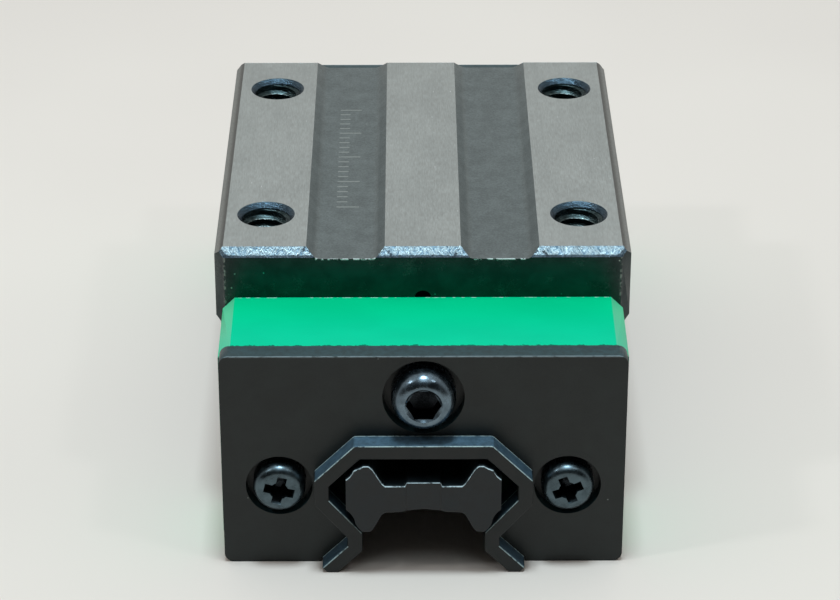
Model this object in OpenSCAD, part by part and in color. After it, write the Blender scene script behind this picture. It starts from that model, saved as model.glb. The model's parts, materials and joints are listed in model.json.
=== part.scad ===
// Square-type linear guide carriage with four ball circuits, held on a plastic dummy rail.
// Frame: X across the rail way, Y along the travel, Z up. The origin lies under the middle of the
// carriage, at the height of the lower edges of its seals. Sizes are in millimetres.

/* [Block] */
// Width over the two reference side faces
block_w = 34; // [33:0.1:36]
// Length of the steel block
block_l = 39.4; // [39:0.1:41]
// Height of the mounting face over the lower edges of the seals
block_top = 23.7; // [23.2:0.1:25]
// Distance between the tapped holes across the block
bolt_span_x = 26; // [25:0.1:27]
// Distance between the tapped holes along the block
bolt_span_y = 26; // [22:0.1:28]
// Major radius of the four tapped holes
bolt_r = 2.0; // [1.6:0.05:2.1]
// Depth of the full thread in the four tapped holes
bolt_depth = 5; // [4:0.5:6]

/* [Top grooves] */
// Distance of a groove's inner edge from the middle
groove_in = 3.1; // [2.5:0.1:3.6]
// Width of a groove at the top
groove_w = 6.4; // [5:0.1:6.6]
// Depth of a groove
groove_depth = 0.8; // [0.5:0.05:1.2]

/* [Ends] */
// Thickness of an end cap along the travel
cap_t = 7.8; // [7.6:0.1:9]
// Thickness of a seal plate
plate_t = 1.8; // [1.4:0.1:2.5]
// How far a seal lip stands out of its plate
lip_proud = 1.7; // [0.8:0.1:2]
// Wall of a seal lip
lip_t = 1.2; // [0.8:0.02:1.25]

/* [Balls] */
// Radius of a ball
ball_r = 1.5875; // [1.5:0.0125:1.6]
// Pitch of the balls along their circuit
pitch = 3.35; // [3.345:0.001:3.38]

/* [Dummy rail] */
// How far each end of the dummy rail stands out of the seal lip
dummy_proud = 0.3; // [0:0.1:5]

/* [Hidden] */
$fn = 64;
gap = 0.02;

half_l = block_l / 2;
cap_end = half_l + cap_t;
plate_end = cap_end + plate_t;
lip_end = plate_end + lip_proud;
dummy_end = lip_end + dummy_proud;

// The profile of the rail that the carriage runs on, from the right foot round to the left foot
rail_right = [[7.4, -0.45], [4.95, 2.0], [4.95, 3.7], [7.6, 6.8], [7.6, 8.1], [5.05, 10.65]];
rail_path = concat(rail_right, [for (i = [len(rail_right) - 1:-1:0]) [-rail_right[i][0], rail_right[i][1]]]);

// Block section
block_bottom = 1.0;
side_step_z = 17.4;
side_step = 0.4;
edge_break = 0.7;
corner_break = 0.8;
groove_corner_r = 0.8;
roof_z = 11.5;
wall_x = 8.3;
leg_x = 6.05;
leg_floor_z = 3.5;
leg_flare = 8.3;
leg_flare_bottom = 0;
dimple_r = 0.7;
dimple_z = 19.3;
dimple_depth = 1.5;

// Tapped holes: drill point under the thread, and countersink at its mouth
drill_r = 1.65;
drill_tip_r = 0.3;
drill_point = 0.9;
sink_r = 2.4;
sink_depth = 0.4;

// Ball circuits
row_x = 7.2;
row_z = [10.3, 4.7];
turn_tilt = [35, -10];
track_r = 1.65;
straight_balls = 12;
turn_balls = 3;
turn_r = turn_balls * pitch / PI;
turn_y = straight_balls * pitch / 2;
guide_r = 2.5;
guide_w = 3.0;
// How much wider the straight lead into a turn is than the track
seam = 0.05;

// Parts that hold the balls in the block, on the right side
roof_t = 0.55;
roof_half_w = 6.2;
side_t = 0.55;
side_bottom = 5.9;
side_top = 9.1;
lower_in = 5.45;
lower_out = 6.1;
lower_top = 3.95;
lower_bottom = 2.6;

// End cap, whose top falls away from the block, and seal plate
cap_half_w = 16.4;
cap_bottom = 0.9;
cap_top = 19.38;
cap_fall = 2.8;
cap_corner = 1.0;
cap_clear = 0.45;
plate_half_w = 16.25;
plate_bottom = 0;
plate_top = 19.1;
plate_corner = 0.8;

// Grease port and its plug
port_z = 15.4;
port_r = 1.95;
port_depth = 4.5;
port_well_r = 3.28;
plug_head_r = 2.6;
plug_proud = 1.5;
plug_flat_r = 1.6;
plug_dome_r = 3.3;
plug_socket_af = 2.5;
plug_socket_depth = 1.9;

// Grease ducts from the port to the upper turns, sunk in the face of the cap against the block
duct_r = 0.8;
duct_w = 1;
duct_depth = 0.8;
duct_x = 9.3;
duct_end_z = 12.5;

// Cap screws
screw_x = 11.65;
screw_z = 7.25;
screw_well_r = 2.7;
well_floor = 0.5;
screw_head_r = 2.12;
screw_head_h = 2.25;
screw_dome = 0.5;
screw_r = 1.2;
screw_clear_r = 1.3;
screw_thread_depth = 5;
screw_end_room = 0.5;
cross_w = 0.62;
cross_span = 2.3;
cross_depth = 1.1;

// Dummy rail, right half of its section from the top of the middle rib to the arch under the web
dummy_right = [
    [0, 8.62], [1.35, 8.62], [1.5, 8.3], [3.1, 8.3], [3.35, 8.55], [4.1, 9.85], [4.4, 10.15], [4.85, 10.15],
    [5.15, 9.95], [6.2, 9.5], [6.25, 9.3], [6.25, 6.0], [5.25, 4.4], [4.95, 4.05], [4.3, 4.05], [4.05, 4.3],
    [3.35, 5.65], [3.05, 5.85], [1.75, 5.92], [1.4, 6.05], [0, 6.2]
];
dummy_clear = 0.11;

upper = 0;
lower = 1;
left = -1;
right = 1;
front = -1;
rear = 1;

// Unit vector square to a stretch of a path, on its right-hand side
function side_of(path, i) =
    let (v = path[i + 1] - path[i])
    [v[1], -v[0]] / norm(v);

// A path moved sideways by d, with mitred corners
function shifted(path, d) = [
    for (i = [0:len(path) - 1])
        let (m = side_of(path, max(i - 1, 0)) + side_of(path, min(i, len(path) - 2)))
        path[i] + m * (2 * d / (m * m))
];

function reversed(path) = [for (i = [len(path) - 1:-1:0]) path[i]];

function arc(centre, r, a0, a1, steps) = [
    for (i = [0:steps])
        let (a = a0 + (a1 - a0) * i / steps)
        centre + r * [cos(a), sin(a)]
];

function both_sides(half) = concat(half, [for (p = reversed(half)) [-p[0], p[1]]]);

// Return row of a circuit on the right side: two turn radii away from the loaded row
function return_at(level) =
    [row_x, row_z[level]] + 2 * turn_r * [cos(turn_tilt[level]), sin(turn_tilt[level])];

// A profile drawn in X and Z, run along Y from y0 to y1
module along_y(y0, y1) {
    translate([0, y1, 0])
        rotate([90, 0, 0])
            linear_extrude(y1 - y0)
                children();
}

module rod_y(r, x, z, y0, y1) {
    translate([x, y1, z])
        rotate([90, 0, 0])
            cylinder(h = y1 - y0, r = r);
}

// Shapes drawn for the front end, or mirrored to the rear end
module at_end(end) {
    mirror([0, end == rear ? 1 : 0, 0])
        children();
}

// The rail way widened by d
module way(d) {
    polygon(concat(shifted(rail_path, d), [[-7.4 - d, -2], [7.4 + d, -2]]));
}

module ball_grooves(r) {
    for (side = [left, right], level = [upper, lower])
        translate([side * row_x, row_z[level]])
            circle(r);
}

module block_section() {
    half_w = block_w / 2;
    outer = [
        [0, block_top], [half_w - edge_break, block_top], [half_w, block_top - edge_break],
        [half_w, side_step_z], [half_w - side_step, side_step_z - side_step],
        [half_w - side_step, block_bottom + edge_break], [half_w - side_step - edge_break, block_bottom],
        [0, block_bottom]
    ];
    inner = [
        [0, roof_z], [wall_x, roof_z], [wall_x, leg_floor_z], [leg_x, leg_floor_z],
        [leg_x, leg_flare - leg_x], [leg_flare - leg_flare_bottom, leg_flare_bottom], [0, leg_flare_bottom]
    ];
    difference() {
        polygon(both_sides(outer));
        polygon(both_sides(inner));
        ball_grooves(track_r);
    }
}

// Sunk strip with 45 degree sides and rounded bottom corners
module groove_section() {
    r = groove_corner_r;
    inner = groove_in + groove_depth;
    outer = groove_in + groove_w - groove_depth;
    bottom = block_top - groove_depth;
    turn = r * tan(22.5);
    polygon(concat(
        [[groove_in - 1, block_top + 1]],
        arc([inner + turn, bottom + r], r, 225, 270, 4),
        arc([outer - turn, bottom + r], r, 270, 315, 4),
        [[groove_in + groove_w + 1, block_top + 1]]
    ));
}

module block_edge_cuts() {
    // Broken edge along each end of the mounting face
    for (end = [front, rear])
        translate([0, end * half_l, block_top])
            rotate([45, 0, 0])
                cube([block_w + 2, edge_break * sqrt(2), edge_break * sqrt(2)], center = true);
    // Broken upright corners
    for (end = [front, rear], side = [left, right])
        translate([side * block_w / 2, end * half_l, block_top / 2])
            rotate([0, 0, 45])
                cube([corner_break * sqrt(2), corner_break * sqrt(2), block_top + 2], center = true);
}

module tapped_hole(x, y) {
    translate([x, y, block_top - bolt_depth])
        cylinder(h = bolt_depth + 1, r = bolt_r);
    translate([x, y, block_top - bolt_depth - drill_point])
        cylinder(h = drill_point + gap, r1 = drill_tip_r, r2 = drill_r);
    translate([x, y, block_top - sink_depth])
        cylinder(h = 2 * sink_depth, r1 = bolt_r, r2 = 2 * sink_r - bolt_r);
}

module block() {
    color([0.24, 0.25, 0.24])
        difference() {
            along_y(-half_l, half_l)
                block_section();
            for (side = [0, 1])
                mirror([side, 0, 0])
                    along_y(-half_l - 1, half_l + 1)
                        groove_section();
            for (side = [left, right], level = [upper, lower])
                rod_y(track_r, side * return_at(level)[0], return_at(level)[1], -half_l - 1, half_l + 1);
            for (x = [left, right], y = [front, rear])
                tapped_hole(x * bolt_span_x / 2, y * bolt_span_y / 2);
            for (end = [front, rear])
                at_end(end) {
                    for (side = [left, right])
                        rod_y(screw_r + gap, side * screw_x, screw_z,
                              -half_l - 1, -half_l + screw_thread_depth);
                    rod_y(dimple_r, 0, dimple_z, -half_l - 1, -half_l + dimple_depth);
                }
            block_edge_cuts();
        }
}

// Places a shape drawn in a turn's own plane: X from the loaded row to the return row, Y along the travel,
// with the origin on the axis of the turn
module turn_frame(side, level, end) {
    at_end(end)
        mirror([side == left ? 1 : 0, 0, 0])
            translate([row_x, -turn_y, row_z[level]])
                rotate([0, -turn_tilt[level], 0])
                    translate([turn_r, 0, 0])
                        children();
}

module turn_track(side, level, end) {
    turn_frame(side, level, end)
        rotate([0, 0, 180])
            rotate_extrude(angle = 180)
                translate([turn_r, 0])
                    circle(track_r);
    at_end(end) {
        rod_y(track_r + seam, side * row_x, row_z[level], -turn_y - gap, -half_l + 1);
        rod_y(track_r + seam, side * return_at(level)[0], return_at(level)[1], -turn_y - gap, -half_l + 1);
    }
}

// Half disc that fills the inside of a turn
module half_disc(r, w, back) {
    intersection() {
        cylinder(h = w, r = r, center = true);
        translate([-r - 1, -r - 1, -w])
            cube([2 * r + 2, r + 1 + back, 2 * w]);
    }
}

module turn_guides(end) {
    color([0.08, 0.08, 0.09])
        for (side = [left, right], level = [upper, lower])
            turn_frame(side, level, end)
                difference() {
                    half_disc(guide_r, guide_w, turn_y - half_l);
                    rotate_extrude()
                        translate([turn_r, 0])
                            circle(track_r);
                }
}

// Left higher than the cap, for cap_top_cuts to trim
module cap_section() {
    half = [
        [0, cap_top + 1], [cap_half_w, cap_top + 1], [cap_half_w, cap_bottom + cap_corner],
        [cap_half_w - cap_corner, cap_bottom], [0, cap_bottom]
    ];
    difference() {
        polygon(both_sides(half));
        way(cap_clear);
    }
}

// Cuts the falling top of an end cap and the broken edge on each side of it, all in one profile that
// runs on past the cap's sides
module cap_top_cuts() {
    past = cap_half_w + 1;
    half = [[cap_half_w - cap_corner, 0], [past, -cap_corner - 1], [past, 2]];
    translate([0, -half_l, cap_top])
        rotate([cap_fall, 0, 0])
            along_y(-cap_t - 2, 2)
                polygon(both_sides(half));
}

module grease_ducts() {
    rod_y(port_r + gap, 0, port_z, -cap_end - 1, -cap_end + port_depth);
    rod_y(duct_r, 0, port_z, -cap_end - 1, -half_l + 1);
    translate([-duct_x - duct_w / 2, -half_l - duct_depth, port_z - duct_w / 2])
        cube([2 * duct_x + duct_w, duct_depth + 1, duct_w]);
    for (side = [left, right])
        translate([side * duct_x - duct_w / 2, -half_l - duct_depth, duct_end_z])
            cube([duct_w, duct_depth + 1, port_z - duct_end_z]);
}

module end_cap(end) {
    color([0.13, 0.62, 0.24])
        difference() {
            at_end(end)
                difference() {
                    along_y(-cap_end, -half_l)
                        cap_section();
                    cap_top_cuts();
                    for (side = [left, right])
                        rod_y(screw_clear_r, side * screw_x, screw_z, -cap_end - 1, -half_l + 1);
                    grease_ducts();
                }
            for (side = [left, right], level = [upper, lower]) {
                turn_track(side, level, end);
                turn_frame(side, level, end)
                    half_disc(guide_r + gap, guide_w + 2 * gap, turn_y - half_l + 1);
            }
        }
}

module plate_outline() {
    r = plate_corner;
    x = plate_half_w - r;
    z0 = plate_bottom + r;
    z1 = plate_top - r;
    union() {
        translate([-x, plate_bottom])
            square([2 * x, plate_top - plate_bottom]);
        translate([-plate_half_w, z0])
            square([2 * plate_half_w, z1 - z0]);
        for (side = [left, right], z = [z0, z1])
            translate([side * x, z])
                circle(r);
    }
}

module seal_plate(end) {
    color([0.1, 0.11, 0.11])
        at_end(end)
            difference() {
                along_y(-plate_end, -cap_end)
                    difference() {
                        plate_outline();
                        way(lip_t + gap);
                    }
                rod_y(port_well_r, 0, port_z, -plate_end - 1, -cap_end - well_floor);
                rod_y(port_r + gap, 0, port_z, -plate_end - 1, -cap_end + 1);
                for (side = [left, right]) {
                    rod_y(screw_well_r, side * screw_x, screw_z, -plate_end - 1, -cap_end - well_floor);
                    rod_y(screw_clear_r, side * screw_x, screw_z, -plate_end - 1, -cap_end + 1);
                }
            }
}

module seal_lip(end) {
    color([0.05, 0.05, 0.055])
        at_end(end)
            along_y(-lip_end, -cap_end)
                intersection() {
                    polygon(concat(shifted(rail_path, 0), reversed(shifted(rail_path, lip_t))));
                    translate([-cap_half_w, 0])
                        square([2 * cap_half_w, cap_top]);
                }
}

// Cross-recess screw with a shallow domed head, drawn at its axis with the head towards -Y
module cap_screw(end, side, twist) {
    seat = cap_end + well_floor;
    head_front = seat + screw_head_h;
    tip = half_l - screw_thread_depth + screw_end_room;
    dome_r = (screw_head_r * screw_head_r + screw_dome * screw_dome) / (2 * screw_dome);
    color([0.42, 0.43, 0.44])
        at_end(end)
            translate([side * screw_x, 0, screw_z])
                difference() {
                    union() {
                        intersection() {
                            rod_y(screw_head_r, 0, 0, -head_front - 1, -seat);
                            translate([0, -head_front + dome_r, 0])
                                sphere(dome_r);
                        }
                        rod_y(screw_r, 0, 0, -seat - gap, -tip);
                    }
                    rotate([0, twist, 0])
                        for (a = [0, 90])
                            rotate([0, a, 0])
                                translate([-cross_span / 2, -head_front - 1, -cross_w / 2])
                                    cube([cross_span, 1 + cross_depth, cross_w]);
                }
}

// Button-head plug with a flat front and a hexagon socket
module port_plug(end) {
    seat = cap_end + well_floor;
    head_front = plate_end + plug_proud;
    dome_back = sqrt(plug_dome_r * plug_dome_r - plug_flat_r * plug_flat_r);
    color([0.2, 0.21, 0.22])
        at_end(end)
            translate([0, 0, port_z])
                difference() {
                    union() {
                        intersection() {
                            rod_y(plug_head_r, 0, 0, -head_front, -seat);
                            translate([0, -head_front + dome_back, 0])
                                sphere(plug_dome_r);
                        }
                        rod_y(port_r - gap, 0, 0, -seat - gap, -cap_end + port_depth - screw_end_room);
                    }
                    translate([0, -head_front + plug_socket_depth, 0])
                        rotate([90, 0, 0])
                            cylinder(h = plug_socket_depth + 1, r = plug_socket_af / 2 / cos(30), $fn = 6);
                }
}

module on_side(side) {
    mirror([side == left ? 1 : 0, 0, 0])
        children();
}

module bottom_seal(side) {
    color([0.07, 0.07, 0.075])
        on_side(side)
            along_y(-half_l, half_l)
                polygon([
                    [7.45, 0.35], [7.9, 0.35], [8.1, 0.55], [12.5, 0.55],
                    [12.5, block_bottom], [7.8, block_bottom]
                ]);
}

module retainer_top() {
    color([0.14, 0.14, 0.15])
        along_y(-half_l, half_l)
            difference() {
                translate([-roof_half_w, roof_z - roof_t])
                    square([2 * roof_half_w, roof_t]);
                ball_grooves(track_r);
            }
}

module retainer_side(side) {
    color([0.14, 0.14, 0.15])
        on_side(side)
            along_y(-half_l, half_l)
                difference() {
                    translate([wall_x - side_t, side_bottom])
                        square([side_t, side_top - side_bottom]);
                    ball_grooves(track_r);
                }
}

module retainer_lower(side) {
    color([0.14, 0.14, 0.15])
        on_side(side)
            along_y(-half_l, half_l)
                difference() {
                    polygon([
                        [lower_in, lower_top], [lower_out, lower_top], [leg_x, leg_floor_z],
                        [leg_x, lower_bottom], [lower_in, lower_bottom]
                    ]);
                    ball_grooves(track_r);
                }
}

module dummy_rail() {
    color([0.13, 0.13, 0.13])
        along_y(-dummy_end, dummy_end)
            difference() {
                polygon(both_sides(dummy_right));
                ball_grooves(ball_r + dummy_clear);
            }
}

module straight_row(x, z) {
    color([0.8, 0.8, 0.82])
        for (i = [0:straight_balls - 1])
            translate([x, (i + 0.5) * pitch - turn_y, z])
                sphere(ball_r);
}

module balls_loaded(level, side) {
    straight_row(side * row_x, row_z[level]);
}

module balls_return(level, side) {
    straight_row(side * return_at(level)[0], return_at(level)[1]);
}

module balls_turn(level, side, end) {
    color([0.8, 0.8, 0.82])
        turn_frame(side, level, end)
            for (i = [0:turn_balls - 1])
                rotate([0, 0, -(i + 0.5) * 180 / turn_balls])
                    translate([turn_r, 0, 0])
                        sphere(ball_r);
}

block();
end_cap(front);  // end_cap_front
end_cap(rear);  // end_cap_rear
turn_guides(front);  // turn_guides_front
turn_guides(rear);  // turn_guides_rear
seal_plate(front);  // seal_plate_front
seal_plate(rear);  // seal_plate_rear
seal_lip(front);  // seal_lip_front
seal_lip(rear);  // seal_lip_rear
cap_screw(front, left, 20);  // cap_screw_front_left
cap_screw(front, right, 58);  // cap_screw_front_right
cap_screw(rear, left, 75);  // cap_screw_rear_left
cap_screw(rear, right, 35);  // cap_screw_rear_right
port_plug(front);  // port_plug_front
port_plug(rear);  // port_plug_rear
bottom_seal(left);  // bottom_seal_left
bottom_seal(right);  // bottom_seal_right
retainer_top();
retainer_side(left);  // retainer_side_left
retainer_side(right);  // retainer_side_right
retainer_lower(left);  // retainer_lower_left
retainer_lower(right);  // retainer_lower_right
dummy_rail();
balls_loaded(upper, left);  // balls_upper_left_loaded
balls_return(upper, left);  // balls_upper_left_return
balls_turn(upper, left, front);  // balls_upper_left_turn_front
balls_turn(upper, left, rear);  // balls_upper_left_turn_rear
balls_loaded(upper, right);  // balls_upper_right_loaded
balls_return(upper, right);  // balls_upper_right_return
balls_turn(upper, right, front);  // balls_upper_right_turn_front
balls_turn(upper, right, rear);  // balls_upper_right_turn_rear
balls_loaded(lower, left);  // balls_lower_left_loaded
balls_return(lower, left);  // balls_lower_left_return
balls_turn(lower, left, front);  // balls_lower_left_turn_front
balls_turn(lower, left, rear);  // balls_lower_left_turn_rear
balls_loaded(lower, right);  // balls_lower_right_loaded
balls_return(lower, right);  // balls_lower_right_return
balls_turn(lower, right, front);  // balls_lower_right_turn_front
balls_turn(lower, right, rear);  // balls_lower_right_turn_rear
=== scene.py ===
"""Looks of a linear guide carriage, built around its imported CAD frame. Blender lengths are in metres."""

import json
import math

import bmesh
import bpy
from mathutils import Matrix, Vector


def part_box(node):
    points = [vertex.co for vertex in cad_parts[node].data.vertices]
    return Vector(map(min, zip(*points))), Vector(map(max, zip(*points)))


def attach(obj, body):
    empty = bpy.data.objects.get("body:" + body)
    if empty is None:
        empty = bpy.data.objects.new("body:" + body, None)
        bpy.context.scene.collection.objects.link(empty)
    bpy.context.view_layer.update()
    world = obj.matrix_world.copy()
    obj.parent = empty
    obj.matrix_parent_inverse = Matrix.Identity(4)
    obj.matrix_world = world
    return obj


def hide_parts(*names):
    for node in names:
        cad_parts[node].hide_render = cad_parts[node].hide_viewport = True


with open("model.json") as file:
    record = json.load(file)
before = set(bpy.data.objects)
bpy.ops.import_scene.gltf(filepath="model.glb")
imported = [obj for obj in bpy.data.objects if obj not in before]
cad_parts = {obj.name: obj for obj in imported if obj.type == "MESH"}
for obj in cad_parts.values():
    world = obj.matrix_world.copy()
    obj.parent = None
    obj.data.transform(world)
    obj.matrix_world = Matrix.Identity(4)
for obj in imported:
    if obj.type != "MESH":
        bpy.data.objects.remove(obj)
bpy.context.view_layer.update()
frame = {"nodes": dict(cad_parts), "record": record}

MM = 0.001
NODES = frame["nodes"]
ROOT = "carriage"

# Places that the CAD nodes give, in millimetres
HALF_W, HALF_L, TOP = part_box("block")[1] / MM
CAP_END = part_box("end_cap_rear")[1].y / MM
CAP_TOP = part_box("end_cap_rear")[1].z / MM
PLATE_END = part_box("seal_plate_rear")[1].y / MM
PLATE_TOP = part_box("seal_plate_rear")[1].z / MM
LIP_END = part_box("seal_lip_rear")[1].y / MM
RAIL_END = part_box("dummy_rail")[1].y / MM
SCREW = sum(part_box("cap_screw_rear_right"), Vector()) / 2 / MM
SCREW_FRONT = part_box("cap_screw_rear_right")[1].y / MM
PORT_Z = sum(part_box("port_plug_rear"), Vector()).z / 2 / MM
PLUG_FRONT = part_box("port_plug_rear")[1].y / MM

# Sizes of the CAD nodes that the looks follow, in millimetres
GROOVE_IN = 3.1
GROOVE_OUT = 9.5
GROOVE_DEPTH = 0.8
EDGE_BREAK = 0.7
CORNER_BREAK = 0.8
STEP_Z = 17.4
HOLE_X = 13.0
HOLE_Y = 13.0
HOLE_R = 2.0
SINK_R = 2.4
SINK_DEPTH = 0.4
THREAD_DEPTH = 5.0
WELL_FLOOR = 0.5
SOCKET_AF = 2.5
SOCKET_DEPTH = 1.9

# Pitch of the M4 threads in millimetres, which only the looks have
THREAD_PITCH = 0.7

# Half width and top of the zone round the rail way where the caps get painted shade, in millimetres
CAP_WAY_W = 8.3
CAP_WAY_TOP = 11.3

# An edge that turns by more degrees than this is rounded on a CAD piece, and stays sharp on a fastener
SHARP_ANGLE = 32.0
BEVEL_STEPS = 2


# ---------------------------------------------------------------- node trees


class Paint:
    """One material's node tree, with short ways to add what the finishes here share.

    Places are the object's own coordinates in millimetres, so a pattern stays on its piece when it moves.
    """

    def __init__(self, name):
        self.material = bpy.data.materials.new(name)
        self.material.use_nodes = True
        self.tree = self.material.node_tree
        self.shader = self.tree.nodes["Principled BSDF"]
        metres = self.add("ShaderNodeTexCoord").outputs["Object"]
        self.place = self.vector("SCALE", metres, scale=1 / MM)
        self.x, self.y, self.z = self.split(self.place)
        facing = self.add("ShaderNodeNewGeometry").outputs["Normal"]
        self.nx, self.ny, self.nz = self.split(facing)

    def add(self, kind, **settings):
        node = self.tree.nodes.new(kind)
        for key, value in settings.items():
            setattr(node, key, value)
        return node

    def feed(self, socket, value):
        if isinstance(value, bpy.types.NodeSocket):
            self.tree.links.new(value, socket)
        else:
            socket.default_value = value

    def split(self, vector):
        node = self.add("ShaderNodeSeparateXYZ")
        self.feed(node.inputs[0], vector)
        return node.outputs[0], node.outputs[1], node.outputs[2]

    def vector(self, operation, first, second=None, scale=None):
        node = self.add("ShaderNodeVectorMath", operation=operation)
        self.feed(node.inputs[0], first)
        if second is not None:
            self.feed(node.inputs[1], second)
        if scale is not None:
            self.feed(node.inputs["Scale"], scale)
        return node.outputs[0]

    def maths(self, operation, *values):
        node = self.add("ShaderNodeMath", operation=operation)
        for socket, value in zip(node.inputs, values):
            self.feed(socket, value)
        return node.outputs[0]

    def size(self, value):
        return self.maths("ABSOLUTE", value)

    def both(self, first, *others):
        """Shares and numbers multiplied, which is 1 only where all of them are."""
        for other in others:
            first = self.maths("MULTIPLY", first, other)
        return first

    def either(self, first, *others):
        """The largest of some shares, which is 1 where any of them is."""
        for other in others:
            first = self.maths("MAXIMUM", first, other)
        return first

    def rise(self, value, low, high):
        """0 below low, 1 above high, and smooth in between."""
        return self.ramp(value, low, high, 0.0, 1.0)

    def fall(self, value, low, high):
        """1 below low, 0 above high, and smooth in between."""
        return self.ramp(value, low, high, 1.0, 0.0)

    def spread(self, noise):
        """Noise stretched about its middle, so that it fills 0 to 1."""
        return self.rise(noise, 0.3, 0.7)

    def ramp(self, value, low, high, start, end):
        node = self.add("ShaderNodeMapRange", interpolation_type="SMOOTHSTEP")
        for socket, given in zip(node.inputs, (value, low, high, start, end)):
            self.feed(socket, given)
        return node.outputs[0]

    def near(self, value, centre, reach, soft):
        """1 within reach of centre, falling to 0 over soft."""
        away = self.size(self.maths("SUBTRACT", value, centre))
        return self.fall(away, reach, reach + soft)

    def noise(self, spot, detail=3.0, rough=0.55, offset=0.0, place=None):
        """Noise with spots of that size in millimetres, one number or one for each axis.

        Another offset gives another pattern of the same kind.
        """
        sizes = spot if isinstance(spot, tuple) else (spot, spot, spot)
        shares = tuple(1 / s for s in sizes)
        place = self.vector("MULTIPLY", place or self.place, shares)
        if offset:
            place = self.vector("ADD", place, (offset, offset * 1.7, offset * 0.6))
        node = self.add("ShaderNodeTexNoise")
        self.feed(node.inputs["Vector"], place)
        self.feed(node.inputs["Scale"], 1.0)
        self.feed(node.inputs["Detail"], detail)
        self.feed(node.inputs["Roughness"], rough)
        return node.outputs[0]

    def turned(self, degrees):
        """The place turned about Y, for streaks that run askew across an end."""
        node = self.add("ShaderNodeVectorRotate", rotation_type="Y_AXIS")
        self.feed(node.inputs["Vector"], self.place)
        self.feed(node.inputs["Angle"], math.radians(degrees))
        return node.outputs[0]

    def from_axis(self, one, one_at, two, two_at):
        """Distance from an axis, given the two coordinates square to it."""
        first = self.maths("SUBTRACT", one, one_at)
        second = self.maths("SUBTRACT", two, two_at)
        return self.maths("SQRT", self.maths("ADD", self.both(first, first), self.both(second, second)))

    def specks(self, spacing, r):
        """Small round spots, one in most cells of that spacing in millimetres."""
        node = self.add("ShaderNodeTexVoronoi")
        self.feed(node.inputs["Vector"], self.vector("SCALE", self.place, scale=1 / spacing))
        self.feed(node.inputs["Scale"], 1.0)
        return self.fall(node.outputs["Distance"], r / spacing * 0.4, r / spacing)

    def mix(self, share, first, second):
        node = self.add("ShaderNodeMix", data_type="FLOAT")
        self.feed(node.inputs[0], share)
        self.feed(node.inputs[2], first)
        self.feed(node.inputs[3], second)
        return node.outputs[0]

    def blend(self, share, first, second):
        node = self.add("ShaderNodeMix", data_type="RGBA")
        self.feed(node.inputs[0], share)
        for socket, value in ((node.inputs[6], first), (node.inputs[7], second)):
            self.feed(socket, value if isinstance(value, bpy.types.NodeSocket) else (*value, 1.0))
        return node.outputs[2]

    def vary(self, colour, share, low, high):
        """colour made darker or lighter, from low to high times itself, as share goes from 0 to 1."""
        node = self.add("ShaderNodeVectorMath", operation="SCALE")
        self.feed(node.inputs[0], colour)
        self.feed(node.inputs["Scale"], self.mix(share, low, high))
        return node.outputs[0]

    def bump(self, height, depth):
        """Bump whose height of 0 to 1 stands for that depth in millimetres, added to any bump before it."""
        node = self.add("ShaderNodeBump")
        before = self.shader.inputs["Normal"].links
        if before:
            self.feed(node.inputs["Normal"], before[0].from_socket)
        self.feed(node.inputs["Strength"], 1.0)
        self.feed(node.inputs["Distance"], depth * MM)
        self.feed(node.inputs["Height"], height)
        self.feed(self.shader.inputs["Normal"], node.outputs[0])

    def set(self, **sockets):
        """Sets the shader's sockets, whose names are given with underscores for spaces."""
        for name, value in sockets.items():
            plain_colour = isinstance(value, tuple) and len(value) == 3
            self.feed(self.shader.inputs[name.replace("_", " ")], (*value, 1.0) if plain_colour else value)
        return self.material


# ---------------------------------------------------------------- finishes


def ground_land(p, grain):
    """Ground finish of the lands: fine lengthwise grain, soft cloudy patches and a few bright scratches."""
    wide_grain = p.noise((0.3, 6.0, 0.3), 2.0, 0.5, 3.0)
    cloud = p.noise((4.0, 6.0, 4.0), 3.0, 0.6, 11.0)
    scratch = p.both(
        p.rise(p.noise((0.13, 0.8, 0.13), 1.0, 0.3, 23.0), 0.75, 0.80),
        p.rise(p.noise(4.0, 1.0, 0.5, 7.0), 0.52, 0.62),
    )
    steel = p.vary((0.430, 0.456, 0.444), p.spread(grain), 0.88, 1.10)
    steel = p.vary(steel, p.rise(wide_grain, 0.35, 0.65), 0.975, 1.02)
    steel = p.vary(steel, p.spread(cloud), 0.94, 1.05)
    return p.blend(p.both(scratch, 0.7), steel, (0.75, 0.78, 0.78))


def strip_oxide(p, mottle, pits, fine):
    """Dark oxide of the sunk strips, mottled and finely pitted."""
    oxide = p.vary((0.180, 0.213, 0.216), p.spread(mottle), 0.88, 1.1)
    oxide = p.vary(oxide, p.spread(pits), 0.84, 1.14)
    pin_spots = p.both(p.specks(1.7, 0.07), p.rise(fine, 0.5, 0.6))
    return p.blend(pin_spots, oxide, (0.42, 0.44, 0.44))


def end_oxide(p, mottle, ragged, scuff):
    """Thicker, darker and smoother oxide of the end faces and the parts below, with faint scuffs."""
    oxide = p.vary((0.036, 0.046, 0.047), p.spread(mottle), 0.8, 1.25)
    oxide = p.blend(p.both(scuff, 0.5), oxide, (0.15, 0.18, 0.17))
    specks = p.both(p.specks(1.3, 0.09), p.rise(mottle, 0.44, 0.52))
    oxide = p.blend(specks, oxide, (0.45, 0.50, 0.48))
    corner = p.near(p.size(p.x), HALF_W - CORNER_BREAK, 0.05, 0.12)
    corner_line = p.both(corner, p.rise(p.size(p.ny), 0.6, 0.9), p.rise(ragged, 0.44, 0.60))
    return p.blend(corner_line, oxide, (0.20, 0.22, 0.21))


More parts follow.
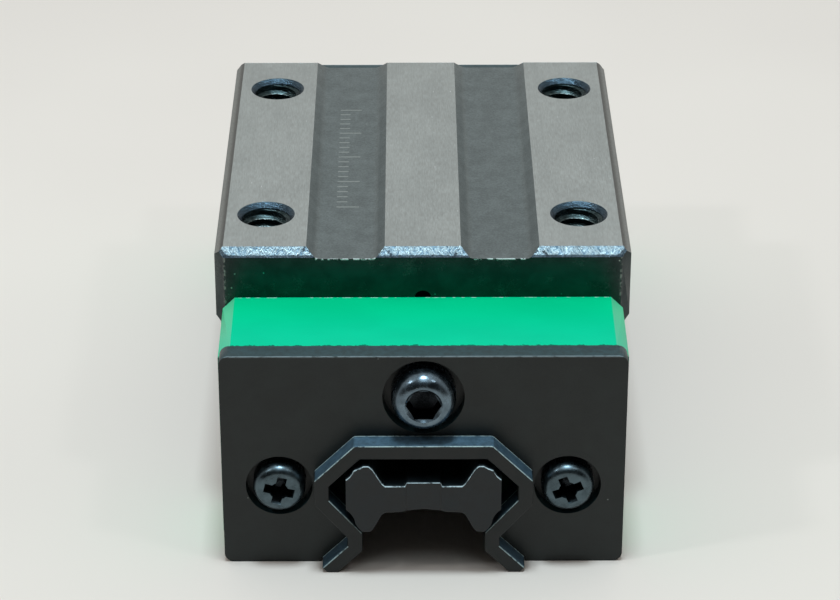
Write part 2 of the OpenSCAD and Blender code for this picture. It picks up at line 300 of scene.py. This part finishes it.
def tool_marks(p, patch, ragged):
    """Two crossed sets of tool marks, one in some patches and the other in the rest."""
    hatch = p.noise((0.075, 0.5, 0.5), 2.0, 0.6, 13.0, p.turned(38))
    cross_hatch = p.noise((0.065, 0.4, 0.4), 2.0, 0.6, 29.0, p.turned(-47))
    marks = p.mix(p.rise(patch, 0.40, 0.60), hatch, cross_hatch)
    return p.mix(0.30, marks, ragged)


def break_zone(p, ragged, on_top, top_zone):
    """Share that is 1 on the break along each end of the top, and on its torn upper edge."""
    slope = p.both(p.rise(p.nz, 0.25, 0.45), p.rise(p.size(p.ny), 0.25, 0.45))
    above_break = p.rise(p.z, TOP - EDGE_BREAK - 0.02, TOP - EDGE_BREAK + 0.02)
    torn = p.maths("ADD", p.size(p.y), p.mix(ragged, -0.10, 0.10))
    torn_edge = p.rise(torn, HALF_L - EDGE_BREAK - 0.03, HALF_L - EDGE_BREAK)
    lip = p.both(torn_edge, p.rise(p.nz, 0.5, 0.7), on_top)
    return p.either(p.both(slope, top_zone, above_break), lip)


def bright_break(p, marks, patch, ragged):
    """Bright steel of the break, with dark tool marks, a torn lower edge and chips at its ends."""
    dark = (0.03, 0.04, 0.05)
    steel = p.blend(p.rise(marks, 0.40, 0.60), (0.10, 0.17, 0.23), (0.42, 0.52, 0.55))
    steel = p.vary(steel, p.spread(patch), 0.80, 1.15)
    low_edge = p.maths("SUBTRACT", p.z, p.mix(ragged, 0.0, 0.26))
    low_edge = p.fall(low_edge, TOP - EDGE_BREAK, TOP - EDGE_BREAK + 0.06)
    steel = p.blend(p.both(low_edge, 0.9), steel, dark)
    ax = p.size(p.x)
    below = p.maths("SUBTRACT", TOP, p.z)
    toward_side = p.maths("ADD", ax, p.maths("ADD", p.both(below, 1.6), p.mix(ragged, 0.0, 0.5)))
    chips = p.rise(toward_side, HALF_W - 0.10, HALF_W)
    for wall in (p.maths("ADD", ax, below), p.maths("SUBTRACT", ax, below)):
        at_wall = p.either(p.near(wall, GROOVE_OUT, 0.10, 0.12), p.near(wall, GROOVE_IN, 0.10, 0.12))
        chips = p.either(chips, p.both(at_wall, p.rise(ragged, 0.46, 0.54)))
    return p.blend(p.both(chips, 0.9), steel, dark)


def run_out_burr_and_glint(p):
    """Share that is 1 on the thin burr where a sunk strip runs out at the front end face, which is painted
    pale as a glint of light.
    """
    half_floor = (GROOVE_OUT - GROOVE_IN) / 2 - GROOVE_DEPTH
    return p.both(
        p.near(p.size(p.x), (GROOVE_OUT + GROOVE_IN) / 2, half_floor, 0.1),
        p.near(p.z, TOP - GROOVE_DEPTH, 0.07, 0.06),
        p.fall(p.y, -HALF_L + 0.03, -HALF_L + 0.11),
        p.rise(p.noise(0.45, 3.0, 0.6, 41.0), 0.46, 0.53),
    )


def ground_side(p):
    """Ground finish of the side faces above the step."""
    grain = p.noise((0.1, 3.0, 0.09), 4.0, 0.7, 19.0)
    return p.vary((0.34, 0.355, 0.345), p.spread(grain), 0.82, 1.14)


def side_break_steel(p, fine):
    """Dull steel of the break between the top and each side, lighter toward the side."""
    outward = p.rise(p.size(p.x), HALF_W - 0.62, HALF_W - 0.2)
    steel = p.blend(outward, (0.115, 0.12, 0.115), (0.27, 0.285, 0.275))
    return p.vary(steel, p.spread(fine), 0.75, 1.2)


def hole_steel(p, from_hole, turning, ragged, fine):
    """Rough blued steel of the countersinks, and the darker threads below them with paler crests."""
    sink = p.blend(p.rise(turning, 0.35, 0.65), (0.026, 0.046, 0.066), (0.085, 0.135, 0.175))
    thread = p.blend(p.rise(ragged, 0.35, 0.65), (0.020, 0.034, 0.036), (0.070, 0.105, 0.110))
    crest = p.fall(from_hole, HOLE_R - 0.33, HOLE_R - 0.29)
    thread = p.blend(p.both(crest, p.rise(fine, 0.40, 0.6)), thread, (0.30, 0.37, 0.37))
    at_sink = p.rise(p.z, TOP - SINK_DEPTH - 0.08, TOP - SINK_DEPTH)
    return p.blend(at_sink, thread, sink)


def steel_block():
    """Ground lands, dark oxide in the sunk strips and on the ends, and a bright rough break at each end."""
    p = Paint("steel_block")
    ax, ay = p.size(p.x), p.size(p.y)
    ragged = p.noise(0.35, 4.0, 0.7)
    fine = p.noise(0.12, 3.0, 0.7, 5.0)
    mottle = p.noise(1.6, 4.0, 0.65, 17.0)
    pits = p.noise(0.16, 3.0, 0.6, 2.0)
    grain = p.noise((0.10, 0.9, 0.10), 4.0, 0.75)
    patch = p.noise((1.1, 0.4, 0.4), 3.0, 0.6, 37.0)
    turning = p.noise((0.5, 0.5, 0.05), 3.0, 0.7, 53.0)
    scuff = p.both(p.rise(p.noise(2.6, 5.0, 0.7, 31.0), 0.54, 0.75), p.rise(fine, 0.35, 0.7))
    marks = tool_marks(p, patch, ragged)

    # Zones, each a share that is 1 where its finish lies
    on_top = p.rise(p.z, TOP - 0.14, TOP - 0.05)
    top_zone = p.rise(p.z, TOP - GROOVE_DEPTH - 0.1, TOP - GROOVE_DEPTH - 0.04)
    land = p.both(p.rise(p.nz, 0.93, 0.985), on_top)
    sunk = p.both(top_zone, p.rise(p.nz, 0.4, 0.6), p.fall(p.size(p.ny), 0.2, 0.4))
    side = p.both(p.rise(p.size(p.nx), 0.9, 0.97), p.rise(p.z, STEP_Z - 0.02, STEP_Z + 0.02))
    beside_break = p.rise(ax, HALF_W - EDGE_BREAK - 0.04, HALF_W - EDGE_BREAK)
    side_break = p.both(beside_break, p.rise(p.nz, 0.3, 0.5), top_zone)
    end_break = break_zone(p, ragged, on_top, top_zone)
    # Burr at the run-out, painted as a glint of light
    burr_and_glint = run_out_burr_and_glint(p)
    from_hole = p.from_axis(ax, HOLE_X, ay, HOLE_Y)
    in_hole = p.both(
        p.rise(p.z, TOP - THREAD_DEPTH - 1.6, TOP - THREAD_DEPTH - 1.5),
        p.fall(from_hole, SINK_R - 0.04, SINK_R + 0.02),
        p.fall(p.nz, 0.9, 0.97),
    )
    ticks = p.both(etched_ticks(p), sunk, p.rise(pits, 0.2, 0.45))

    colour = p.blend(sunk, end_oxide(p, mottle, ragged, scuff), strip_oxide(p, mottle, pits, fine))
    colour = p.blend(land, colour, ground_land(p, grain))
    colour = p.blend(side, colour, ground_side(p))
    colour = p.blend(side_break, colour, side_break_steel(p, fine))
    colour = p.blend(end_break, colour, bright_break(p, marks, patch, ragged))
    # The run-out burr is painted a pale bluish non-metal, a painted glint where the strip meets the end
    # face
    colour = p.blend(burr_and_glint, colour, (0.75, 0.82, 0.85))
    colour = p.blend(in_hole, colour, hole_steel(p, from_hole, turning, ragged, fine))
    colour = p.blend(ticks, colour, (0.36, 0.40, 0.39))

    oxide_below = p.both(p.fall(p.nz, 0.2, 0.4), p.maths("SUBTRACT", 1.0, side))
    rough = p.mix(land, 0.46, p.mix(p.spread(grain), 0.42, 0.54))
    rough = p.mix(oxide_below, rough, p.mix(scuff, 0.26, 0.42))
    rough = p.mix(end_break, rough, p.mix(p.spread(marks), 0.38, 0.24))
    rough = p.mix(in_hole, rough, 0.24)
    p.bump(grain, 0.004)
    p.bump(p.both(pits, p.maths("SUBTRACT", 1.0, land)), 0.006)
    p.bump(p.both(marks, end_break), 0.045)
    p.bump(p.both(turning, in_hole), 0.05)
    return p.set(Base_Color=colour, Roughness=rough, Metallic=p.mix(burr_and_glint, 1.0, 0.0))


def etched_ticks(p):
    """Share that is 1 on a scale of plain ticks, a millimetre apart, with a longer one at every fifth.

    It lies on the left strip, in place of any marking.
    """
    start = -7.25
    half_length = 10.2
    soft = 0.05
    lines = []
    for spacing, end in ((1.0, -6.35), (5.0, -5.35)):
        band = p.both(p.rise(p.x, start, start + soft), p.fall(p.x, end, end + soft))
        share = p.maths("FRACT", p.maths("ADD", p.maths("DIVIDE", p.y, spacing), 0.5))
        away = p.both(p.size(p.maths("SUBTRACT", share, 0.5)), spacing)
        lines.append(p.both(p.fall(away, 0.06, 0.10), band))
    within = p.fall(p.size(p.y), half_length, half_length + 0.1)
    return p.both(p.either(*lines), within, p.rise(p.nz, 0.97, 0.99))


def green_plastic():
    """Bright moulded plastic, faintly wavy, with pale flecks along its trimmed edges, painted lightening
    toward the block, painted shade round the rail way and painted highlights on its side chamfers.
    """
    p = Paint("green_plastic")
    flow = p.noise((6.0, 3.0, 6.0), 2.0, 0.5)
    grain = p.noise(0.10, 2.0, 0.6, 3.0)
    ay = p.size(p.y)
    # Painted light: the green is lighter next to the block, to even out the shade the block casts on the
    # cap
    colour = p.blend(p.rise(ay, HALF_L, CAP_END - 1.0), (0.0, 0.560, 0.237), (0.0, 0.531, 0.281))
    colour = p.vary(colour, p.spread(flow), 0.97, 1.03)
    edge = p.fall(ay, HALF_L + 0.04, HALF_L + 0.12)
    broken_up = p.rise(p.noise(0.42, 3.0, 0.6, 9.0), 0.50, 0.60)
    flecks = p.both(edge, p.rise(p.z, CAP_TOP - 0.15, CAP_TOP - 0.05), broken_up)
    colour = p.blend(p.both(flecks, 0.7), colour, (0.58, 0.88, 0.82))
    gappy = p.mix(p.noise(0.5, 4.0, 0.7, 21.0), -0.5, 0.5)
    joint = p.rise(p.maths("ADD", ay, gappy), CAP_END - 0.26, CAP_END - 0.20)
    colour = p.blend(p.both(joint, 0.8), colour, (0.0, 0.07, 0.05))
    # Painted shade: the faces round the rail way, in shade inside the carriage, are made nearly black
    colour = p.blend(painted_way_shade(p, CAP_WAY_W, CAP_WAY_TOP), colour, (0.0, 0.012, 0.008))
    # Painted highlight: the side chamfers, which face up and outward, are made paler
    chamfer_highlight = p.both(p.rise(p.size(p.nx), 0.35, 0.6), p.rise(p.nz, 0.3, 0.5))
    colour = p.blend(p.both(chamfer_highlight, 0.30), colour, (0.30, 0.62, 0.45))
    p.bump(flow, 0.010)
    p.bump(grain, 0.0012)
    rough = p.mix(p.spread(grain), 0.36, 0.46)
    return p.set(Base_Color=colour, Roughness=rough, Specular_IOR_Level=0.06)


def painted_way_shade(p, half_w, top):
    """Share that is 1 round the rail way, where painted shade darkens whatever faces the rail."""
    in_width = p.fall(p.size(p.x), half_w, half_w + 0.05)
    return p.both(in_width, p.fall(p.z, top, top + 0.05))


def painted_top_sheen(p, colour, dust_and_sheen):
    """colour under a painted blue-grey sheen, which stands for the overhead light's reflection on faces
    that look up.
    """
    patchy = p.spread(p.noise(0.5, 4.0, 0.7, 61.0))
    # Painted sheen: faces that look up get the blue-grey colour of the overhead light's reflection
    sheen_share = p.both(p.rise(p.nz, 0.35, 0.95), p.mix(patchy, 0.5, 1.0))
    return p.blend(sheen_share, colour, dust_and_sheen)


def black_plate():
    """Black moulded plate with a fine grain, a little dust, a painted sheen on faces that look up and
    painted highlights along the edges of its top.
    """
    p = Paint("black_plate")
    grain = p.noise(0.09, 2.0, 0.6)
    cloud = p.noise(3.5, 3.0, 0.6, 5.0)
    dust_and_sheen = p.both(p.specks(1.9, 0.085), p.rise(p.noise(1.1, 2.0, 0.5, 8.0), 0.48, 0.56))
    colour = p.vary((0.0068, 0.0112, 0.0108), p.spread(cloud), 0.8, 1.25)
    # Painted sheen of the overhead light on the plate's faces that look up
    colour = painted_top_sheen(p, colour, (0.024, 0.056, 0.063))
    colour = p.blend(p.both(dust_and_sheen, 0.7), colour, (0.20, 0.23, 0.22))
    highlight_noise = p.noise((0.6, 0.3, 0.3), 3.0, 0.65, 14.0)
    # Painted highlight along the top edges at each end of the plate
    edge_highlight = p.both(
        p.rise(p.size(p.y), PLATE_END - 0.13, PLATE_END - 0.04),
        p.rise(p.z, PLATE_TOP - 0.13, PLATE_TOP - 0.04),
        p.rise(highlight_noise, 0.25, 0.55),
    )
    colour = p.blend(p.both(edge_highlight, 0.85), colour, (0.22, 0.29, 0.32))
    p.bump(grain, 0.0030)
    rough = p.mix(p.spread(grain), 0.36, 0.50)
    return p.set(Base_Color=colour, Roughness=rough, Specular_IOR_Level=0.40)


def seal_rubber():
    """Matte black rubber with a soft cloudy bloom, a painted sheen on faces that look up and painted pale
    highlights along its edges.
    """
    p = Paint("seal_rubber")
    bloom = p.noise(1.4, 4.0, 0.65)
    grain = p.noise(0.12, 3.0, 0.6, 4.0)
    colour = p.vary((0.0060, 0.0088, 0.0090), p.spread(bloom), 0.75, 1.4)
    # Painted sheen of the overhead light on the lip's faces that look up
    colour = painted_top_sheen(p, colour, (0.070, 0.135, 0.190))
    dust_and_sheen = p.both(p.specks(1.9, 0.06), p.rise(bloom, 0.5, 0.6))
    colour = p.blend(p.both(dust_and_sheen, 0.6), colour, (0.18, 0.21, 0.22))
    ay = p.size(p.y)
    edge = p.either(p.rise(ay, LIP_END - 0.12, LIP_END - 0.05), p.near(ay, PLATE_END, 0.05, 0.05))
    # Painted highlight along the lip's front edge and where it meets the plate
    edge_highlight = p.both(edge, p.rise(p.nz, 0.2, 0.5), p.rise(p.noise(0.5, 3.0, 0.65, 15.0), 0.25, 0.55))
    colour = p.blend(p.both(edge_highlight, 0.9), colour, (0.45, 0.58, 0.58))
    p.bump(grain, 0.0035)
    rough = p.mix(p.spread(bloom), 0.42, 0.58)
    return p.set(Base_Color=colour, Roughness=rough, Specular_IOR_Level=0.40)


def dummy_plastic():
    """Black moulded rail with faint flow lines, and a pale burr with a painted highlight and two short
    seams at each end.
    """
    p = Paint("dummy_plastic")
    flow = p.noise((1.2, 7.0, 1.2), 3.0, 0.6)
    grain = p.noise(0.10, 2.0, 0.6, 6.0)
    colour = p.vary((0.0062, 0.0102, 0.0128), p.spread(flow), 0.75, 1.3)
    ay = p.size(p.y)
    # Burr along the upper edges of each end, painted pale bluish as a highlight of the overhead light
    burr_and_glint = p.both(
        p.rise(ay, RAIL_END - 0.18, RAIL_END - 0.05),
        p.rise(p.nz, 0.10, 0.5),
        p.rise(p.noise(0.45, 3.0, 0.65, 12.0), 0.32, 0.56),
    )
    colour = p.blend(p.both(burr_and_glint, 0.9), colour, (0.60, 0.74, 0.78))
    seam_x = 1.38
    seam = p.both(p.near(p.size(p.x), seam_x, 0.03, 0.05), p.rise(ay, RAIL_END - 0.05, RAIL_END - 0.01))
    colour = p.blend(p.both(seam, 0.5), colour, (0.004, 0.004, 0.005))
    p.bump(p.maths("SUBTRACT", 1.0, seam), 0.03)
    p.bump(flow, 0.006)
    p.bump(grain, 0.002)
    rough = p.mix(p.spread(flow), 0.34, 0.48)
    return p.set(Base_Color=colour, Roughness=rough, Specular_IOR_Level=0.4)


def guide_plastic():
    """Matte inner plastic of the ball guides and retainers."""
    p = Paint("guide_plastic")
    grain = p.noise(0.14, 3.0, 0.6)
    colour = p.vary((0.020, 0.020, 0.023), p.spread(p.noise(2.0, 3.0, 0.6, 2.0)), 0.8, 1.25)
    p.bump(grain, 0.003)
    return p.set(Base_Color=colour, Roughness=p.mix(p.spread(grain), 0.45, 0.60))


def blackened_steel(p, colour, recess, rough_low, rough_high):
    """Blackened fastener steel with fine turning lines and tiny bright nicks, and a dull recess darkened
    with painted shade.
    """
    mottle = p.noise(0.8, 4.0, 0.65)
    fine = p.noise(0.09, 3.0, 0.6, 3.0)
    paint = p.vary(colour, p.spread(mottle), 0.75, 1.3)
    nicks = p.both(p.specks(0.9, 0.06), p.rise(p.noise(0.7, 2.0, 0.5, 9.0), 0.54, 0.62))
    paint = p.blend(p.both(nicks, 0.7), paint, (0.55, 0.60, 0.62))
    # Painted shade: the recess is made nearly black
    paint = p.blend(recess, paint, p.vary((0.016, 0.019, 0.022), p.spread(fine), 0.6, 2.2))
    p.bump(fine, 0.003)
    rough = p.mix(recess, p.mix(p.spread(mottle), rough_low, rough_high), 0.34)
    return p.set(Base_Color=paint, Roughness=rough, Metallic=1.0)


def screw_steel():
    """Dark steel of the cap screws, duller and darkened with painted shade in the cross recess."""
    p = Paint("screw_steel")
    recess_r = 1.5
    within = p.fall(p.from_axis(p.size(p.x), SCREW.x, p.z, SCREW.z), recess_r, recess_r + 0.05)
    deep = p.fall(p.size(p.y), SCREW_FRONT - 0.34, SCREW_FRONT - 0.26)
    return blackened_steel(p, (0.078, 0.108, 0.124), p.both(within, deep), 0.24, 0.38)


def plug_steel():
    """Lighter blackened steel of the port plugs, duller and darkened with painted shade in the socket."""
    p = Paint("plug_steel")
    socket_r = 1.52
    within = p.fall(p.from_axis(p.x, 0.0, p.z, PORT_Z), socket_r, socket_r + 0.04)
    deep = p.fall(p.size(p.y), PLUG_FRONT - 0.22, PLUG_FRONT - 0.12)
    return blackened_steel(p, (0.125, 0.170, 0.205), p.both(within, deep), 0.19, 0.30)


def ball_steel():
    """Polished bearing steel under a thin broken film of grease."""
    p = Paint("ball_steel")
    film = p.noise(0.7, 3.0, 0.6)
    colour = p.vary((0.72, 0.73, 0.75), p.spread(film), 0.85, 1.05)
    p.bump(film, 0.001)
    return p.set(Base_Color=colour, Roughness=p.mix(p.rise(film, 0.35, 0.65), 0.06, 0.20), Metallic=1.0)


def table_top():
    """Plain pale matte floor."""
    p = Paint("table_top")
    tone = p.noise(60.0, 2.0, 0.5)
    colour = p.blend(p.spread(tone), (0.735, 0.655, 0.595), (0.765, 0.685, 0.620))
    p.bump(p.noise(0.6, 2.0, 0.6), 0.004)
    return p.set(Base_Color=colour, Roughness=0.62, Specular_IOR_Level=0.3)


FINISHES = {
    "steel_block": steel_block(),
    "green_plastic": green_plastic(),
    "black_plate": black_plate(),
    "seal_rubber": seal_rubber(),
    "dummy_plastic": dummy_plastic(),
    "guide_plastic": guide_plastic(),
    "screw_steel": screw_steel(),
    "plug_steel": plug_steel(),
    "ball_steel": ball_steel(),
}


# ---------------------------------------------------------------- meshes


def to_object(name, bm, finish, smooth=True):
    """An object with that finish, from a bmesh in millimetres."""
    bmesh.ops.scale(bm, vec=(MM, MM, MM), verts=bm.verts)
    bmesh.ops.recalc_face_normals(bm, faces=bm.faces)
    mesh = bpy.data.meshes.new(name)
    bm.to_mesh(mesh)
    bm.free()
    for face in mesh.polygons:
        face.use_smooth = smooth
    piece = bpy.data.objects.new(name, mesh)
    bpy.context.scene.collection.objects.link(piece)
    mesh.materials.append(FINISHES[finish])
    return piece


def lathe(bm, outline, steps):
    """Turns an outline of (radius, y) points about the Y axis. A radius of 0 closes an end."""
    angles = [2 * math.pi * i / steps for i in range(steps)]
    rings = []
    for r, y in outline:
        if r == 0:
            rings.append([bm.verts.new((0, y, 0))])
            continue
        rings.append([bm.verts.new((r * math.cos(a), y, r * math.sin(a))) for a in angles])
    for one, two in zip(rings, rings[1:]):
        for i in range(steps):
            j = (i + 1) % steps
            corners = [one[i % len(one)], one[j % len(one)], two[j % len(two)], two[i % len(two)]]
            bm.faces.new(list(dict.fromkeys(corners)))


def prism(bm, sections):
    """A closed solid through outlines of (x, z) points, each given with its y."""
    rings = [[bm.verts.new((x, y, z)) for x, z in outline] for outline, y in sections]
    count = len(rings[0])
    for one, two in zip(rings, rings[1:]):
        for i in range(count):
            j = (i + 1) % count
            bm.faces.new([one[i], one[j], two[j], two[i]])
    bm.faces.new(rings[0])
    bm.faces.new(rings[-1])


def cross_outline(reach, half_w, turn):
    """Outline of a plus sign, turned by that many degrees."""
    corners = [(reach, half_w), (half_w, half_w), (half_w, reach)]
    spin = Matrix.Rotation(math.radians(turn), 2)
    points = []
    for quarter in range(4):
        step = Matrix.Rotation(math.radians(90 * quarter), 2)
        points += [spin @ step @ Vector(corner) for corner in corners]
    return points


def hexagon(across_flats):
    r = across_flats / 2 / math.cos(math.radians(30))
    return [(r * math.cos(math.radians(60 * i)), r * math.sin(math.radians(60 * i))) for i in range(6)]


def carve(piece, cutters):
    """Cuts each cutter's shape out of a piece, for good, and removes the cutters."""
    for cutter in cutters:
        cut = piece.modifiers.new("cut", "BOOLEAN")
        cut.operation = "DIFFERENCE"
        cut.solver = "EXACT"
        cut.object = cutter
    bpy.context.view_layer.update()
    carved = bpy.data.meshes.new_from_object(piece.evaluated_get(bpy.context.evaluated_depsgraph_get()))
    piece.modifiers.clear()
    piece.data = carved
    for cutter in cutters:
        bpy.data.objects.remove(cutter)


def join_up(piece):
    """Joins a piece's coincident points, which also removes faces that have no area."""
    weld = piece.modifiers.new("weld", "WELD")
    weld.merge_threshold = 0.0005 * MM


def soften(piece, width):
    """Rounds a piece's sharp edges by that width in millimetres and evens its shading."""
    join_up(piece)
    bevel = piece.modifiers.new("bevel", "BEVEL")
    bevel.width = width * MM
    bevel.segments = BEVEL_STEPS
    bevel.limit_method = "ANGLE"
    bevel.angle_limit = math.radians(SHARP_ANGLE)
    bevel.harden_normals = True
    bevel.use_clamp_overlap = True


def round_over(from_r, to_r, from_y, depth, steps):
    """Quarter round from the flat front of a head at from_r down to its side at to_r."""
    points = []
    for i in range(1, steps + 1):
        a = math.radians(90 * i / steps)
        points.append((from_r + (to_r - from_r) * math.sin(a), from_y + depth * (1 - math.cos(a))))
    return points


def fastener(node, outline, finish, cutters, segments):
    """A turned fastener in the place of its CAD node. Its outline's y runs back from the head's front."""
    low, high = (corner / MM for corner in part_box(node))
    front = low.y + high.y < 0
    head_y = low.y if front else high.y
    head = Vector(((low.x + high.x) / 2, head_y, (low.z + high.z) / 2))
    bm = bmesh.new()
    lathe(bm, outline, segments)
    piece = to_object(node + "_detail", bm, finish)
    carve(piece, [to_object("cutter", cutter, finish) for cutter in cutters])
    spin = Matrix.Identity(4) if front else Matrix.Rotation(math.pi, 4, "Z")
    piece.data.transform(Matrix.Translation(head * MM) @ spin)
    join_up(piece)
    piece.data.set_sharp_from_angle(angle=math.radians(SHARP_ANGLE))
    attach(piece, ROOT)
    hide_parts(node)


def cap_screw(node, turn):
    """Pan-head screw with a tapered cross recess."""
    low, high = (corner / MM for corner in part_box(node))
    head_r = (high.x - low.x) / 2
    length = high.y - low.y
    side_y = SCREW_FRONT - CAP_END - WELL_FLOOR
    crown_r = 1.40
    crown = 0.10
    rounding = 0.85
    shank_r = 1.18
    outline = [(0, 0), (0.4, 0.01), (0.9, 0.05), (crown_r, crown)]
    outline += round_over(crown_r, head_r, crown, rounding, 10)
    outline += [(head_r, side_y), (shank_r, side_y), (shank_r, length), (0, length)]
    recess = bmesh.new()
    prism(recess, [(cross_outline(1.42, 0.43, turn), -0.3), (cross_outline(0.50, 0.24, turn), 1.6)])
    middle = bmesh.new()
    lathe(middle, [(0, -0.31), (0.86, -0.31), (0.36, 1.5), (0, 1.7)], 32)
    fastener(node, outline, "screw_steel", [recess, middle], 96)


def port_plug(node):
    """Button-head plug with a hexagon socket."""
    low, high = (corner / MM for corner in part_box(node))
    head_r = (high.x - low.x) / 2
    length = high.y - low.y
    side_y = PLUG_FRONT - CAP_END - WELL_FLOOR
    flat_r = 1.5
    rounding = 1.5
    shank_r = 1.93
    outline = [(0, 0), (flat_r / 2, 0), (flat_r, 0)]
    outline += round_over(flat_r, head_r, 0, rounding, 16)
    outline += [(head_r, side_y), (shank_r, side_y), (shank_r, length), (0, length)]
    socket = bmesh.new()
    opening = hexagon(SOCKET_AF)
    tip = [(x * 0.05, z * 0.05) for x, z in opening]
    prism(socket, [(opening, -0.5), (opening, SOCKET_DEPTH), (tip, SOCKET_DEPTH + 0.6)])
    mouth = bmesh.new()
    lathe(mouth, [(0, -0.3), (1.80, -0.3), (1.32, 0.18), (0, 0.2)], 64)
    fastener(node, outline, "plug_steel", [socket, mouth], 128)


def thread_ridge(name, x, y):
    """Helical M4 ridge on the wall of a tapped hole, which runs out at both ends."""
    steps = 40
    turns = 6.3
    run_out = 12
    height = 0.36
    half_crest = 0.03
    half_root = 0.26
    root_r = HOLE_R + 0.03
    bottom = TOP - THREAD_DEPTH + 0.05
    bm = bmesh.new()
    rings = []
    count = int(turns * steps)
    for i in range(count + 1):
        a = 2 * math.pi * i / steps
        z = bottom + THREAD_PITCH * i / steps
        taper = min(1.0, i / run_out, (count - i) / run_out)
        crest_r = HOLE_R - height * taper
        section = ((root_r, -half_root), (crest_r, -half_crest), (crest_r, half_crest), (root_r, half_root))
        thin = max(taper, 0.2)
        rings.append([
            bm.verts.new((x + r * math.cos(a), y + r * math.sin(a), z + dz * thin)) for r, dz in section
        ])
    for one, two in zip(rings, rings[1:]):
        for k in range(4):
            m = (k + 1) % 4
            bm.faces.new([one[k], one[m], two[m], two[k]])
    bm.faces.new(rings[0])
    bm.faces.new(rings[-1])
    piece = to_object(name, bm, "steel_block", smooth=False)
    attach(piece, ROOT)


# ---------------------------------------------------------------- the object

SLOTS = {entry["node"]: entry["material_slot"] for entry in frame["record"]["subparts"]}

# Rounding of the sharp edges of the pieces with each finish, in millimetres
EDGE_ROUNDING = {
    "steel_block": 0.05,
    "green_plastic": 0.14,
    "black_plate": 0.13,
    "seal_rubber": 0.13,
    "dummy_plastic": 0.12,
    "guide_plastic": 0.06,
}

for name, node in NODES.items():
    node.data.materials.clear()
    node.data.materials.append(FINISHES[SLOTS[name]])
    if SLOTS[name] in EDGE_ROUNDING:
        soften(node, EDGE_ROUNDING[SLOTS[name]])
    else:
        join_up(node)

# How far each screw happens to be turned, in degrees
SCREW_TURNS = {
    "cap_screw_front_left": -14,
    "cap_screw_front_right": 22,
    "cap_screw_rear_left": 75,
    "cap_screw_rear_right": 35,
}
for name, turn in SCREW_TURNS.items():
    cap_screw(name, turn)
for name in ("port_plug_front", "port_plug_rear"):
    port_plug(name)
for side, x in (("left", -HOLE_X), ("right", HOLE_X)):
    for end, y in (("front", -HOLE_Y), ("rear", HOLE_Y)):
        thread_ridge(f"thread_{end}_{side}", x, y)

# ---------------------------------------------------------------- stage, light and camera

# How far the floor reaches each way, and the point that the lamps face, in metres
FLOOR_REACH = 1.5
LIGHT_AIM = Vector((0, 0, 0.01))

# Strength of the surroundings, and what is left of it low down on the camera's side
SURROUNDINGS = 0.62
CAMERA_SIDE = 0.05


def soft_light(name, place, width, watts, colour):
    """Square lamp that points at the object, with its place and width in metres."""
    light = bpy.data.lights.new(name, "AREA")
    light.shape = "SQUARE"
    light.size = width
    light.energy = watts
    light.color = colour
    lamp = bpy.data.objects.new(name, light)
    lamp.location = place
    lamp.rotation_euler = (LIGHT_AIM - Vector(place)).to_track_quat("-Z", "Y").to_euler()
    bpy.context.scene.collection.objects.link(lamp)


def floor():
    """Plain flat floor under the object."""
    bm = bmesh.new()
    bmesh.ops.create_grid(bm, x_segments=1, y_segments=1, size=FLOOR_REACH)
    mesh = bpy.data.meshes.new("floor")
    bm.to_mesh(mesh)
    bm.free()
    mesh.materials.append(table_top())
    ground = bpy.data.objects.new("floor", mesh)
    bpy.context.scene.collection.objects.link(ground)


def studio():
    """Bright surroundings behind and above, and dark ones on the camera's side."""
    world = bpy.data.worlds.new("studio")
    bpy.context.scene.world = world
    world.use_nodes = True
    tree = world.node_tree
    way = tree.nodes.new("ShaderNodeSeparateXYZ")
    tree.links.new(tree.nodes.new("ShaderNodeTexCoord").outputs["Generated"], way.inputs[0])
    dim = tree.nodes.new("ShaderNodeMath")
    dim.operation = "MULTIPLY"
    toward_camera = (way.outputs[1], -0.40, 0.0)
    below_overhead = (way.outputs[2], 0.75, 0.92)
    for (share, low, high), socket in zip((toward_camera, below_overhead), dim.inputs):
        node = tree.nodes.new("ShaderNodeMapRange")
        tree.links.new(share, node.inputs[0])
        for given, value in zip(node.inputs[1:5], (low, high, 1.0, 0.0)):
            given.default_value = value
        tree.links.new(node.outputs[0], socket)
    strength = tree.nodes.new("ShaderNodeMapRange")
    tree.links.new(dim.outputs[0], strength.inputs[0])
    strength.inputs["To Min"].default_value = SURROUNDINGS
    strength.inputs["To Max"].default_value = CAMERA_SIDE
    background = tree.nodes["Background"]
    background.inputs["Color"].default_value = (1.0, 0.985, 0.955, 1.0)
    tree.links.new(strength.outputs[0], background.inputs["Strength"])


floor()
studio()
soft_light("overhead", (0.0, -0.05, 0.56), 0.09, 2.05, (0.74, 0.91, 1.0))
soft_light("key", (0.0, -0.27, 0.53), 0.16, 0.18, (0.72, 0.90, 1.0))
soft_light("left", (-0.34, -0.14, 0.42), 0.04, 0.26, (0.90, 0.96, 1.0))
soft_light("right", (0.26, -0.16, 0.46), 0.04, 0.15, (0.90, 0.96, 1.0))

camera = bpy.data.objects.new("camera", bpy.data.cameras.new("camera"))
camera.data.sensor_width = 36.0
camera.data.lens = 128.3
camera.data.clip_start = 0.01
camera.location = Vector((-1.24, -236.85, 132.6)) * MM
camera.rotation_euler = Vector((0.0041, 0.886, -0.463)).to_track_quat("-Z", "Y").to_euler()
bpy.context.scene.collection.objects.link(camera)
bpy.context.scene.camera = camera
bpy.context.scene.view_settings.view_transform = "Standard"
